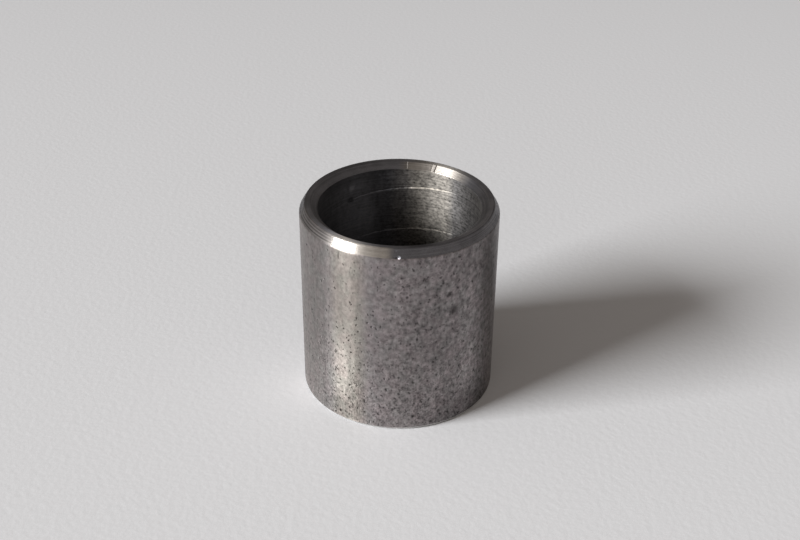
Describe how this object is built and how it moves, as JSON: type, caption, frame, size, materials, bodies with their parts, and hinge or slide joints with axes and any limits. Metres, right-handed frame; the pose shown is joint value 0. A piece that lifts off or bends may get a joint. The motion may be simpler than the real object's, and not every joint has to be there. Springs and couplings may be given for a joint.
{
  "type": "bushing",
  "caption": "Plain cylindrical steel bushing with a straight through bore and bevelled rims at its top end.",
  "frame": {"origin": "centre of the bore at the base end face", "axes": "+Z along the bore, from the base end towards the end with the wide bevels; X and Y are free, because the part is round"},
  "size_m": [0.022, 0.022, 0.023],
  "materials": {
    "steel": "dull turned steel, pitted on the outside wall and bright on the turned bevels"
  },
  "bodies": {
    "root": {"bushing": "steel"}
  },
  "joints": []
}
